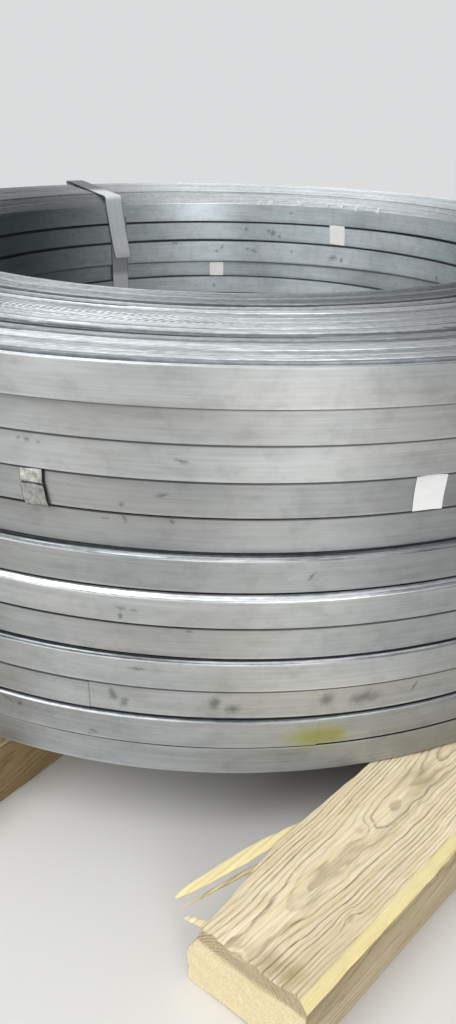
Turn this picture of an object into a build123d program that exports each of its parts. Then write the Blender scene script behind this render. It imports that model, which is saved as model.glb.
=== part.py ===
"""Stack of slit steel strip coils, eye upwards, tied with steel straps and laid on squared timber bearers.

Frame: +Z is up along the eye, the origin is on the eye's axis at floor level, under the bearers,
and the bearers run along Y. Millimetres.
"""
import os

from build123d import *

# The strip, as such a stack is marked: gauge by width, and the number of coils
strip_gauge = 1.2
strip_width = 21.0
coil_count = 12

# One coil: the mandrel that it was wound on, and its wraps
bore_diameter = 508.0
wrap_count = 112
# Wraps that each coil shows more or less than that, top coil first: a tight coil shows fewer
extra_wrap_counts = (4, 0, -3, -5, -6, -2, 1, 0, 2, 0, 1, 1)
# Mean air between one coil's end and the next, kept open by single wraps that stand a little proud
layer_gap = 0.4
# Groups of wraps on the open end of the top coil: the first wrap of each, and how far they lie low
top_groups = ((26, 1.4), (29, 0.0), (73, 1.2), (88, 0.0), (112, 2.0))
# Loose ends of last wraps on the side that shows: coil number and bearing round the eye
tails = ((1, 205.0), (10, -62.0), (11, -36.0))

# Steel straps round the ring of the stack: section, bearings, clearance, and the loose fold at the top edge
strap_width = 20.0
strap_gauge = 0.5
strap_clear = 0.1
strap_bearings = (167.0, 250.0, 45.0)
strap_fold_out = 8.0
strap_fold_up = 3.0
strap_fold_coils = 2
# The free end of a strap, lapped over itself in the eye: where it ends below the top, and its length
strap_end_below_top = 68.0
strap_lap = 45.0

# Room between a round wall of the stack and a thin piece that bends round it
wall_clear = 0.2

# White tape on the outer wall and in the eye: coil number and bearing of each piece
tape_width = 19.0
tape_gauge = 0.15
tape_clear = 0.08
tape_return = 2.0
outer_tapes = ((4, -29.0),)
eye_tapes = ((2, 106.5), (4, 139.5))
tape_edge = 0.6
# How far the tapes in the eye have slid down with the innermost wraps
eye_tape_slip = 6.0

# Folded steel clip that holds the outer wraps of one coil
clip_coil_number = 4
clip_bearing = -59.0
clip_width = 15.0
clip_gauge = 0.2
clip_return = 1.5
clip_tab_gauge = 1.3
clip_tab_height = 8.6
clip_clear = 0.08

# Squared timber bearers: section, length and sawn corner
bearer_width = 70.0
bearer_height = 50.0
bearer_length = 800.0
bearer_wane = 7.0
# Middle of the first bearer in from the outer wall, of the next beyond it, and of the last in from the eye wall
bearer_inset = 19.4
bearer_spacing = 276.5
bearer_eye_inset = 59.0
# How far each bearer is pushed along, and its skew
bearer_lies = ((55.0, 0.0), (-55.0, 7.0), (0.0, -2.0))

bore_radius = bore_diameter / 2
layer_pitch = strip_width + layer_gap
stack_bottom = bearer_height
stack_top = stack_bottom + coil_count * layer_pitch - layer_gap


def coil_bottom(number):
    """Height of the underside of a coil, counted from 1 at the top of the stack."""
    return stack_bottom + (coil_count - number) * layer_pitch


def coil_radius(number):
    """Outer radius of a coil, from its wraps."""
    return bore_radius + (wrap_count + extra_wrap_counts[number - 1]) * strip_gauge


def outer_wall(number):
    """Largest radius of a coil, with the step of its last wrap where it has one."""
    stepped = any(number == tail_number for tail_number, bearing in tails)
    return coil_radius(number) + (strip_gauge if stepped else 0.0)


def at_bearing(shape, bearing):
    """Turn a piece that was built on the X axis to its bearing round the eye."""
    return Rot(0, 0, bearing) * shape


def wrap_radius(wrap):
    """Radius at which a wrap starts, counted from the eye outwards."""
    return bore_radius + wrap * strip_gauge


def coil_section(number):
    """Half section of a coil, as high as the strip; groups of wraps step down on the open end of the top one."""
    low = coil_bottom(number)
    high = low + strip_width
    outside = coil_radius(number)
    upper = [(bore_radius, high)]
    lie = 0.0
    for wrap, group_lie in top_groups if number == 1 else ():
        radius = wrap_radius(wrap)
        upper += [(radius, high - lie), (radius, high - group_lie)]
        lie = group_lie
    upper.append((outside, high))
    lower = [(outside, low), (bore_radius, low)]
    return make_face(Polyline(*upper, *lower, close=True))


def tail_wrap(number, bearing):
    """End of the last wrap: it leaves the round of the coil over half a turn and stops one gauge high."""
    radius = coil_radius(number)
    shift = strip_gauge / 2
    outer = ThreePointArc((-radius, 0), (shift, -radius - shift), (radius + strip_gauge, 0))
    step = Line((radius + strip_gauge, 0), (radius, 0))
    inner = ThreePointArc((radius, 0), (0, -radius), (-radius, 0))
    wrap = extrude(make_face([outer, step, inner]), strip_width)
    return Pos(0, 0, coil_bottom(number)) * at_bearing(wrap, bearing)


def strip_coil(number):
    """One coil: the turned ring of wraps, with the end of its last wrap where that shows."""
    coil = revolve(Plane.XZ * coil_section(number), Axis.Z)
    for tail_number, bearing in tails:
        if tail_number == number:
            coil += tail_wrap(number, bearing)
    return coil


def wall_patch(section, width):
    """Piece of one width that bends round the eye: its half section turned a little and cut to width."""
    turned = revolve(Plane.XZ * section, Axis.Z, 20)
    centred = Rot(0, 0, -10) * turned
    reach = 4 * bore_radius
    return centred & Pos(reach / 2, 0, 0) * Box(reach, width, 4 * stack_top)


def strap_path(offset):
    """Corners of a strap's loop round the ring of the stack, at a distance from the steel that it holds."""
    inner = bore_radius - offset
    under = stack_bottom - offset
    over = stack_top + offset
    widest = max(outer_wall(number) for number in range(strap_fold_coils + 1, coil_count + 1))
    top_radius = outer_wall(1)
    return [
        (inner, under),
        (widest + offset, under),
        (top_radius + offset, coil_bottom(strap_fold_coils)),
        (top_radius + strap_fold_out + offset, over + strap_fold_up),
        (top_radius - 3 * strap_fold_out, over),
        (inner, over),
    ]


def strap(bearing):
    """Strap pulled round the ring, with a loose fold at the top edge and its free end lapped in the eye."""
    outside = make_face(Polyline(*strap_path(strap_clear + strap_gauge), close=True))
    inside = make_face(Polyline(*strap_path(strap_clear), close=True))
    band = wall_patch(outside - inside, strap_width)
    lap_outer = bore_radius - strap_clear - strap_gauge
    lap_top = stack_top - strap_end_below_top + strap_lap
    lap = Pos(lap_outer - strap_gauge / 2, lap_top - strap_lap / 2) * Rectangle(strap_gauge, strap_lap)
    return at_bearing(band + wall_patch(lap, strap_width), bearing)


def folded_section(number, clear, gauge, turn_in):
    """Half section of a piece folded over the outer edges of a coil: its wall and two returns."""
    wall = outer_wall(number) + wall_clear
    low = coil_bottom(number) - clear
    high = coil_bottom(number) + strip_width + clear
    middle = (low + high) / 2
    reach = gauge + turn_in
    filled = Pos(wall + gauge - reach / 2, middle) * Rectangle(reach, high - low + 2 * gauge)
    hollow = Pos(wall - turn_in, middle) * Rectangle(2 * turn_in, high - low)
    return filled - hollow


def outer_tape(number, bearing):
    """Tape on the outer wall of a coil, tucked over both its edges."""
    section = folded_section(number, tape_clear, tape_gauge, tape_return)
    return at_bearing(wall_patch(section, tape_width), bearing)


def eye_tape(number, bearing):
    """Tape on the wall of the eye, as high as one coil less a little at each edge, and slid down a little."""
    height = strip_width - 2 * tape_edge
    middle = coil_bottom(number) + strip_width / 2 - eye_tape_slip
    section = Pos(bore_radius - wall_clear - tape_gauge / 2, middle) * Rectangle(tape_gauge, height)
    return at_bearing(wall_patch(section, tape_width), bearing)


def clip():
    """Folded clip on the outer wall of a coil: a thin plate tucked over both edges, with two raised tabs."""
    plate = folded_section(clip_coil_number, clip_clear, clip_gauge, clip_return)
    face = outer_wall(clip_coil_number) + wall_clear + clip_gauge
    middle = coil_bottom(clip_coil_number) + strip_width / 2
    inset = strip_width / 2 - clip_tab_height / 2
    tabs = [Pos(face + clip_tab_gauge / 2, middle + side * inset) * Rectangle(clip_tab_gauge, clip_tab_height)
            for side in (-1, 1)]
    return at_bearing(wall_patch(plate + tabs, clip_width), clip_bearing)


def bearer_places():
    """Place across the eye of each bearer's middle, how far it is pushed along, and its skew."""
    first = bore_radius + wrap_count * strip_gauge - bearer_inset
    across = (first, first - bearer_spacing, bearer_eye_inset - bore_radius)
    return [(middle, *lie) for middle, lie in zip(across, bearer_lies)]


def bearer(across, along, skew):
    """Squared timber laid on the floor, one of its top corners sawn off along its length."""
    half = bearer_width / 2
    section = make_face(Polyline(
        (-half, 0),
        (half, 0),
        (half, bearer_height - bearer_wane),
        (half - bearer_wane, bearer_height),
        (-half, bearer_height),
        close=True,
    ))
    timber = extrude(Plane.XZ * section, bearer_length / 2, both=True)
    return Pos(across, along, 0) * Rot(0, 0, skew) * timber


def write(name, shape):
    """One file for each named piece."""
    export_step(shape, "parts/" + name + ".step")


os.makedirs("parts", exist_ok=True)
for number in range(1, coil_count + 1):
    write("strip_coil_%02d" % number, strip_coil(number))
for index, bearing in enumerate(strap_bearings):
    write("steel_strap_%d" % (index + 1), strap(bearing))
for index, (number, bearing) in enumerate(outer_tapes):
    write("outer_tape_%d" % (index + 1), outer_tape(number, bearing))
for index, (number, bearing) in enumerate(eye_tapes):
    write("eye_tape_%d" % (index + 1), eye_tape(number, bearing))
write("wrap_clip", clip())
for index, (across, along, skew) in enumerate(bearer_places()):
    write("timber_bearer_%d" % (index + 1), bearer(across, along, skew))
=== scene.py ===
"""Looks of a stack of slit steel strip coils, strapped through the eye and laid on squared timbers.

Lengths are millimetres and bearings are degrees round the eye until a mesh is made. Coils are counted from 1
at the top, and wraps from 0 at the eye.
"""

import bpy
import numpy as np
from mathutils import Matrix, Vector


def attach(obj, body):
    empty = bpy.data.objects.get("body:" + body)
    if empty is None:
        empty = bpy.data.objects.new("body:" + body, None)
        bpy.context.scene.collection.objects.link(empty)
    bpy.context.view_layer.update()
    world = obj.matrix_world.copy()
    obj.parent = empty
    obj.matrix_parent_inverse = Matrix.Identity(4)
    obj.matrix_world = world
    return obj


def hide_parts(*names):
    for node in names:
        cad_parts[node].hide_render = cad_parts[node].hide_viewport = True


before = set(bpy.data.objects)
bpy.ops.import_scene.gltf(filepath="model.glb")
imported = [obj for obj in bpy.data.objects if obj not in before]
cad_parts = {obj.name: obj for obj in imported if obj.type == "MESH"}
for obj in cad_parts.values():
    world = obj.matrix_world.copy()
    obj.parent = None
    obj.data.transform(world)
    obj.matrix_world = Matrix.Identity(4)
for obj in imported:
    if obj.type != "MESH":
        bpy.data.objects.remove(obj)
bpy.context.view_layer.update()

# The strip and the coils, as in the solids
strip_gauge = 1.2
strip_width = 21.0
coil_count = 12
bore_radius = 254.0
wrap_count = 112
extra_wrap_counts = (4, 0, -3, -5, -6, -2, 1, 0, 2, 0, 1, 1)
stack_bottom = 50.0
layer_pitch = 21.4
stack_top = stack_bottom + coil_count * layer_pitch - 0.4
# Radius at which the map of the outer walls is laid out
wall_radius = 388.0

# Where the last wrap of each coil ends, round the eye, and the part of a gauge by which that end
# stands proud
tail_bearings = (-155, -96, -128, -110, -84, -140, -102, -75, -118, -55.8, -36, -132)
proud_tails = {1: 1.0, 10: 0.35, 11: 0.5}

# Groups of wraps on the open end of the top coil: first wrap, how far they lie low, how bright
# their edges are
top_groups = (
    (0, 0.25, 0.50), (4, 0.35, 0.42), (10, 0.15, 0.52), (14, 0.45, 0.36), (20, 0.30, 0.46),
    (24, 0.70, 0.22), (26, 1.40, 0.35), (28, 0.10, 0.72), (32, 0.30, 0.58), (34, 0.80, 0.38),
    (37, 0.00, 0.98), (43, 0.50, 0.62), (46, 0.30, 0.68), (50, 0.15, 0.80), (58, 0.35, 0.70),
    (61, 0.10, 0.84), (67, 0.60, 0.62), (69, 0.10, 0.84), (73, 1.20, 0.40), (75, 1.60, 0.14),
    (79, 0.60, 0.60), (84, 0.90, 0.44), (87, 1.20, 0.26), (91, 0.10, 0.82), (94, 0.00, 0.95),
    (99, 0.40, 0.66), (104, 0.15, 0.80), (108, 0.00, 0.92), (111, 0.50, 0.50), (113, 1.90, 0.98),
)

# Innermost wraps have slumped on the far side of the eye: how far at most for each coil, and how
# many of them
slump_bearing = 150.0
slumps = (9.2, 8.9, 8.7, 8.5, 7.4, 6.0, 5.0, 4.0, 3.0, 2.0, 1.0, 0.0)
slump_wraps = 28

# How far the lower edge of the last wraps is lifted, so that a dark gap shows: left and right in
# the main view
gap_lifts = (
    (0.9, 0.8), (0.4, 0.3), (0.5, 0.35), (0.5, 0.45), (0.25, 0.6), (0.2, 0.35),
    (0.8, 0.8), (0.4, 0.1), (0.7, 0.8), (0.3, 0.35), (0.15, 0.15), (0.4, 0.4),
)
# How far down from its top edge the outer wall of each coil lies in the shade of the coil above
shaded_heights = (0.0, 1.6, 0.6, 0.4, 0.1, 0.0, 0.0, 0.3, 0.0, 0.6, 0.0, 0.0)
# How bright the outer wall of each coil is
wall_tones = (0.97, 0.86, 0.90, 0.77, 0.74, 0.75, 0.88, 0.84, 0.88, 0.80, 0.68, 0.77)
# How bright the wall of the eye is painted at each coil: the lower ones, deeper in the eye, are
# painted darker as shade
eye_depth_shades = (1.04, 0.97, 1.0, 0.86, 0.92, 0.90, 0.88, 0.88, 0.88, 0.88, 0.88, 0.88)
# Coils that stand out beyond the coil above: how bright the ledge is, how far its three outermost wraps lie
# low, and how far the edge of each wrap there slopes down
ledges = {6: (0.85, (0.0, 0.4, 0.9), 0.25), 7: (1.0, (0.8, 1.6, 2.4), 0.5), 9: (0.72, (0.2, 0.0, 1.0), 0.3),
          11: (0.82, (0.0, 0.2, 1.1), 0.4), 12: (0.7, (0.0, 0.0, 0.3), 0.2)}
no_ledge = (0.3, (0.0, 0.0, 0.0), 0.0)
# The ledges are painted darker round this bearing, as shade, apart from the widest one
shaded_ledge_bearing = -75.0
widest_ledge = 7
# How bright the surfaces deep in the gaps are, where only light from other steel reaches
gap_tone = 0.17

# Parts of the eye wall painted lighter or darker, as light and shade: bearing, reach, and the change on
# the top coil and on others
painted_light_patches = ((58.0, 40.0, 0.42, 0.42), (146.0, 16.0, 0.14, -0.14), (104.0, 30.0, -0.24, -0.05))
# Coils whose innermost wrap has slipped further than the others, whose foot is painted dark as shade
# further up, and whose eye wall stands back on the far side, each with how far
foot_slips = {3: 5.2}
shaded_feet = {2: 1.6, 3: 2.6}
set_backs = {4: 2.0}

# Dark marks of handling: bearing, height, width, height and slant of each. One that lies past the end of
# its coil's last wrap is given one turn further on, as the map of that wall runs.
wall_marks = (
    (-60.1, 258.8, 4, 3, 0), (-59.3, 258.4, 5, 4, 0), (-58.4, 258.1, 5, 3, 0), (-47.7, 254.1, 10, 3, -5),
    (-49.2, 233.5, 12, 3, 10), (-52.4, 226.6, 6, 4, 0), (-52.2, 217.5, 3, 7, 15), (-48.5, 217.9, 5, 4, 0),
    (-53.8, 216.9, 7, 2.5, 0), (-37.5, 189.2, 3, 10, -40), (-52.6, 167.3, 10, 3, -8), (-52.6, 162.0, 5, 6, 0),
    (-51.5, 166.5, 7, 2.5, 0), (-50.9, 156.7, 8, 3, 0), (-47.1, 154.3, 5, 4, 0), (-51.4, 128.0, 14, 3, 0),
    (-53.7, 105.2, 8, 15, 15), (-52.7, 100.3, 9, 14, -20), (-45.0, 104.6, 11, 15, 0),
    (-43.4, 100.3, 15, 10, 20), (-35.4, 105.0, 14, 14, 0), (-32.0, 103.4, 30, 17, 10),
    (-27.4, 105.5, 3, 14, -25), (296.2, 87.2, 14, 3, -23), (297.5, 85.6, 5, 5, 0), (304.4, 76.2, 9, 3, -31),
    (304.1, 73.6, 6, 3, 0),
)
eye_marks = (
    (119.7, 289.3, 9, 5, 0), (124.3, 265.7, 11, 13, 0), (122.5, 262.0, 9, 6, 0), (125.5, 268.0, 7, 7, 0),
    (131.6, 268.9, 5, 5, 0), (129.3, 243.9, 13, 4, 15), (131.0, 246.0, 6, 4, 0), (107.3, 242.9, 17, 11, 0),
    (104.8, 241.5, 7, 10, 0), (118.8, 245.3, 4, 5, 0), (75.2, 242.1, 5, 8, 0), (140.1, 202.1, 5, 7, 0),
    (145.1, 202.1, 4, 4, 0), (138.0, 247.5, 6, 9, 0), (139.5, 243.0, 5, 5, 0), (150.9, 252.3, 11, 4, 0),
    (179.2, 288.5, 8, 4, 0), (179.6, 269.6, 5, 4, 0),
)
crayon_marks = ((-36.2, 78.0, 50, 24, 0), (323.8, 78.0, 50, 24, 0), (-34.6, 78.0, 26, 20, 0))

# The way that the camera looks over the floor, and what lies on its right
view_heading = np.array([-0.7114, 0.7028, 0.0])
view_right = np.array([0.7028, 0.7114, 0.0])


def linear(shade):
    """Linear colour of an sRGB hex value."""
    parts = [int(shade[i:i + 2], 16) / 255 for i in (1, 3, 5)]
    return [p / 12.92 if p <= 0.04045 else ((p + 0.055) / 1.055) ** 2.4 for p in parts] + [1.0]


def fill(tree, node, inputs):
    """Fill a node's sockets: an output is linked, a hex colour is made linear, and a value is set as
    it is."""
    for name, value in inputs.items():
        socket = node.inputs[name]
        if isinstance(value, bpy.types.NodeSocket):
            tree.links.new(value, socket)
        else:
            socket.default_value = linear(value) if isinstance(value, str) else value


def add(tree, kind, *values, out=0, stops=(), **settings):
    """Add one node, and give one of its outputs back. Values fill its sockets in order, and a dict fills
    those that it names: a MapRange takes its value, the range that this comes from and the one that it goes
    to, and a colour Mix has its two colours at 6 and 7."""
    made = tree.nodes.new("ShaderNode" + kind)
    for name, value in settings.items():
        setattr(made, name, value)
    for place, (position, shade) in enumerate(stops):
        ramp = made.color_ramp.elements
        stop = ramp[place] if place < 2 else ramp.new(position)
        stop.position = position
        stop.color = linear(shade)
    for place, value in enumerate(values):
        fill(tree, made, value if isinstance(value, dict) else {place: value})
    return made.outputs[out]


def cycles(bearings, seed, rows, lowest, highest, slope=1.0):
    """Smooth random waves round the eye, one row each: cosines of whole cycles, the amplitude
    falling with them."""
    random = np.random.default_rng(seed)
    counts = np.arange(lowest, highest + 1)
    sizes = random.normal(size=(rows, len(counts))) / counts ** slope
    sizes = sizes / np.sqrt((1.0 / counts ** (2 * slope)).sum() / 2)
    phases = random.uniform(0, 2 * np.pi, (rows, len(counts)))
    angles = counts[None, :, None] * np.radians(bearings)[None, None, :] + phases[:, :, None]
    return (sizes[:, :, None] * np.cos(angles)).sum(1)


def waves(seed, count, *coordinates):
    """Smooth random field of about unit size: a sum of plane cosine waves with random directions
    and phases."""
    random = np.random.default_rng(seed)
    total = 0.0
    for _ in range(count):
        phase = random.uniform(0, 2 * np.pi)
        total = total + np.cos(phase + sum(random.normal() * c for c in coordinates))
    return total * np.sqrt(2.0 / count)


def eased(t):
    """Smooth step from 0 to 1."""
    t = np.clip(t, 0, 1)
    return t * t * (3 - 2 * t)


def hump(bearings, middle, reach):
    """Smooth hump round the eye: 1 at its middle and 0 from its reach on, in degrees."""
    return eased(1 - np.abs((bearings - middle + 180.0) % 360.0 - 180.0) / reach)


def facing(bearings, middle=slump_bearing):
    """Raised cosine round the eye: 1 at its middle and 0 opposite."""
    return (1 + np.cos(np.radians(bearings - middle))) / 2


def run_of(path):
    """Length of a path up to each of its points."""
    return np.concatenate([[0], np.cumsum(np.linalg.norm(np.diff(path, axis=0), axis=1))])


def coil_bottom(number):
    """Height of the underside of a coil, counted from 1 at the top."""
    return stack_bottom + (coil_count - number) * layer_pitch


def coil_radius(number):
    """Outer radius of a coil."""
    return bore_radius + (wrap_count + extra_wrap_counts[number - 1]) * strip_gauge


def hold(mesh, name, values, kind="FLOAT", key="value"):
    """Keep a value at each vertex of a mesh, for its material to read."""
    attribute = mesh.attributes.new(name, kind, "POINT")
    attribute.data.foreach_set(key, np.asarray(values, np.float32).ravel())


def surface(name, points, finishes, stands_for=(), *, tone, ring=False, uv=None, finish_of_row=None,
            crease=35.0):
    """Closed skin over a grid of points, in mm: each four neighbours make a face. Its columns always meet.
    Its rows meet on a ring, and otherwise a flat face closes each end. Its volume is made positive."""
    rows, columns = points.shape[:2]
    grid = np.arange(rows * columns).reshape(rows, columns)
    # Where the last column lies on the first, its faces take the first one's vertices
    ids = grid.copy()
    met = np.linalg.norm(points[:, -1] - points[:, 0], axis=1) < 1e-4
    ids[met, -1] = ids[met, 0]
    i, j = np.meshgrid(np.arange(rows if ring else rows - 1), np.arange(columns), indexing="ij")
    i2, j2 = (i + 1) % rows, (j + 1) % columns
    corners = np.stack([grid[i, j], grid[i, j2], grid[i2, j2], grid[i2, j]], -1).reshape(-1, 4)
    faces = ids.ravel()[corners]
    row_of_face = i.ravel()
    flat = points.reshape(-1, 3) / 1000
    a, b, c, d = (flat[faces[:, k]] for k in range(4))
    volume = np.einsum("ij,ij->", a, np.cross(b, c)) + np.einsum("ij,ij->", a, np.cross(c, d))
    if volume < 0:
        faces, corners = faces[:, ::-1], corners[:, ::-1]
    # Faces with two corners in one place become triangles, and flatter ones are left out
    same = faces == np.roll(faces, -1, axis=1)
    whole = ~same.any(1)
    three = same.sum(1) == 1
    lists = faces[whole].tolist()
    picks = corners[whole].tolist()
    kept = row_of_face[whole].tolist()
    for face, pick, drop, row in zip(faces[three], corners[three], same[three], row_of_face[three]):
        lists.append(face[~drop].tolist())
        picks.append(pick[~drop].tolist())
        kept.append(int(row))
    if not ring:
        for end, flip in ((0, volume > 0), (-1, volume < 0)):
            lists.append(ids[end].tolist()[::-1] if flip else ids[end].tolist())
            picks.append(grid[end].tolist()[::-1] if flip else grid[end].tolist())
            kept.append(0 if end == 0 else rows - 2)
    used, renumbered = np.unique(np.concatenate(lists), return_inverse=True)
    lengths = np.array([len(f) for f in lists])
    starts = np.concatenate([[0], np.cumsum(lengths)[:-1]])
    mesh = bpy.data.meshes.new(name)
    mesh.vertices.add(len(used))
    mesh.vertices.foreach_set("co", flat[used].astype(np.float32).ravel())
    mesh.loops.add(int(lengths.sum()))
    mesh.loops.foreach_set("vertex_index", renumbered.astype(np.int32).ravel())
    mesh.polygons.add(len(lists))
    mesh.polygons.foreach_set("loop_start", starts.astype(np.int32))
    for finish in finishes:
        mesh.materials.append(finish)
    if finish_of_row is not None:
        index = np.asarray(finish_of_row, np.int32)[np.asarray(kept)]
        mesh.polygons.foreach_set("material_index", index)
    mesh.update(calc_edges=True)
    mesh.validate()
    if uv is not None:
        layer = mesh.uv_layers.new(name="UVMap")
        layer.data.foreach_set("uv", uv.reshape(-1, 2)[np.concatenate(picks)].astype(np.float32).ravel())
    hold(mesh, "tone", tone.ravel()[used])
    mesh.shade_smooth()
    mesh.set_sharp_from_angle(angle=np.radians(crease))
    made = bpy.data.objects.new(name, mesh)
    bpy.context.scene.collection.objects.link(made)
    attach(made, "root")
    if stands_for:
        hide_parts(*stands_for)
    return made


# Materials
# A Mix node of colours, and a smooth MapRange
colours = {"data_type": "RGBA", "out": 2}
smooth = {"interpolation_type": "SMOOTHSTEP"}


def started(name):
    """New material with an empty shader: the material, its node tree and its surface node."""
    made = bpy.data.materials.new(name)
    made.use_nodes = True
    tree = made.node_tree
    return made, tree, tree.nodes["Principled BSDF"]


def from_eye(tree):
    """Where a point lies from the eye: its place, how far out it is, and the level direction there."""
    place = add(tree, "TexCoord", out=3)
    flat = add(tree, "VectorMath", place, (1, 1, 0), operation="MULTIPLY")
    reach = add(tree, "VectorMath", flat, operation="LENGTH", out=1)
    toward = add(tree, "VectorMath", flat, operation="NORMALIZE")
    return place, reach, toward


def stretched(tree, toward, place, around, up):
    """Coordinates that close round the eye: the direction from the eye times around, and the height
    times up."""
    ringed = add(tree, "VectorMath", toward, (around,) * 3, operation="MULTIPLY")
    raised = add(tree, "VectorMath", place, (0, 0, up), operation="MULTIPLY")
    return add(tree, "VectorMath", ringed, raised, operation="ADD")


def blots(tree, vector, *walls):
    """Strongest of the soft round patches on some walls, each given as its radius and its marks. A patch is
    1 in its middle and 0 at its edge."""
    strongest = None
    for radius, marks in walls:
        for bearing, height, wide, tall, slant in marks:
            moved = add(tree, "Mapping", {
                "Vector": vector,
                "Location": (np.radians(bearing) * radius / 1000, height / 1000, 0),
                "Rotation": (0, 0, np.radians(slant)),
                "Scale": (wide / 2000, tall / 2000, 1),
            }, vector_type="TEXTURE")
            spot = add(tree, "TexGradient", {"Vector": moved}, out=1, gradient_type="SPHERICAL")
            strongest = spot if strongest is None \
                else add(tree, "Math", strongest, spot, operation="MAXIMUM")
    return strongest


def strip_face():
    """Cold rolled mild steel strip, skin passed and lightly oiled. The rolls leave fine lengthwise lines,
    which spread each reflection up and down the wall but keep it narrow sideways: a satin grey with soft
    upright lights."""
    made, tree, shader = started("cold_rolled_strip_face")
    place, reach, toward = from_eye(tree)
    # Roll lines are about 0.3 mm wide; drawn 1.6 mm wide so that they show
    fine = add(tree, "TexNoise", {"Vector": stretched(tree, toward, place, 5.0, 620.0), "Scale": 1.0,
                                  "Detail": 4.0, "Roughness": 0.6})
    # Oil and handling patches, 40 to 120 mm long
    patch = add(tree, "TexNoise", {"Vector": stretched(tree, toward, place, 5.0, 48.0), "Scale": 1.0,
                                   "Detail": 6.0, "Roughness": 0.62, "Distortion": 0.5})
    # Smudges and finger marks, 8 to 20 mm long
    smudge = add(tree, "TexNoise", {"Vector": stretched(tree, toward, place, 26.0, 95.0), "Scale": 1.0,
                                    "Detail": 5.0, "Roughness": 0.68})
    warmth = add(tree, "TexNoise", {"Vector": stretched(tree, toward, place, 3.0, 30.0), "Scale": 1.0,
                                    "Detail": 3.0, "Roughness": 0.5})
    # The vertices' tone brings painted light and shade onto the steel, as well as its own tone
    tone = add(tree, "Attribute", attribute_name="tone", out=2)
    cool = add(tree, "Mix", patch, {6: "#b0b5b6", 7: "#dde0e0"}, **colours)
    warm = add(tree, "Mix", patch, {6: "#b2b4b1", 7: "#dedfdc"}, **colours)
    warmed = add(tree, "MapRange", warmth, 0.46, 0.62)
    outside = add(tree, "Mix", warmed, {6: cool, 7: warm}, **colours)
    # Less handled in the eye, where the fresh oil film leaves it a little bluer
    film = add(tree, "Mix", patch, {6: "#acb5ba", 7: "#d9e2e6"}, **colours)
    outward = add(tree, "MapRange", reach, 0.28, 0.34)
    base = add(tree, "Mix", outward, {6: film, 7: outside}, **colours)
    lined = add(tree, "MapRange", fine, 0.3, 0.7, 0.89, 1.08)
    smudged = add(tree, "MapRange", smudge, 0.34, 0.52, 0.88, 1.0)
    both = add(tree, "Math", lined, smudged, operation="MULTIPLY")
    level = add(tree, "Math", both, tone, operation="MULTIPLY")
    shade = add(tree, "VectorMath", base, {"Scale": level}, operation="SCALE")
    # Marks of handling on the outer wall and in the eye: soft spots whose edges a grain of 2 mm makes
    # ragged, in a slanted speckle of 3 by 6 mm
    walls = add(tree, "TexCoord", out=2)
    bend = add(tree, "TexNoise", {"Vector": walls, "Scale": 230.0, "Detail": 4.0, "Roughness": 0.65}, out=1)
    shift = add(tree, "VectorMath", bend, (0.5, 0.5, 0.5), operation="SUBTRACT")
    small = add(tree, "VectorMath", shift, {"Scale": 0.005}, operation="SCALE")
    bent = add(tree, "VectorMath", walls, small, operation="ADD")
    dark = blots(tree, bent, (wall_radius, wall_marks), (bore_radius, eye_marks))
    streaks = add(tree, "Mapping", {"Vector": walls, "Rotation": (0, 0, 0.9), "Scale": (300.0, 170.0, 1.0)})
    speckle = add(tree, "TexNoise", {"Vector": streaks, "Scale": 1.0, "Detail": 5.0, "Roughness": 0.7})
    ragged = add(tree, "Math", dark, speckle, operation="MULTIPLY")
    soiled = add(tree, "MapRange", ragged, 0.08, 0.44, 0.0, 0.56)
    marked = add(tree, "Mix", soiled, {6: shade, 7: "#55595b"}, **colours)
    # A stroke of yellow crayon, waxy and so less glossy than the steel
    crayon = blots(tree, bent, (wall_radius, crayon_marks))
    waxy = add(tree, "MapRange", crayon, 0.0, 0.75, 0.0, 0.78)
    coloured = add(tree, "Mix", waxy, {6: marked, 7: "#a6a552"}, **colours)
    rough = add(tree, "MapRange", patch, 0.3, 0.7, 0.44, 0.54)
    waxen = add(tree, "Math", waxy, 0.3, operation="MULTIPLY")
    dulled = add(tree, "Math", rough, waxen, operation="ADD")
    upright = add(tree, "CombineXYZ", {"Z": 1.0})
    bump = add(tree, "Bump", {"Strength": 0.15, "Distance": 0.00005, "Height": fine})
    fill(tree, shader, {"Base Color": coloured, "Metallic": 1.0, "Roughness": dulled, "Anisotropic": 0.75,
                        "Tangent": upright, "Normal": bump})
    return made


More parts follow.
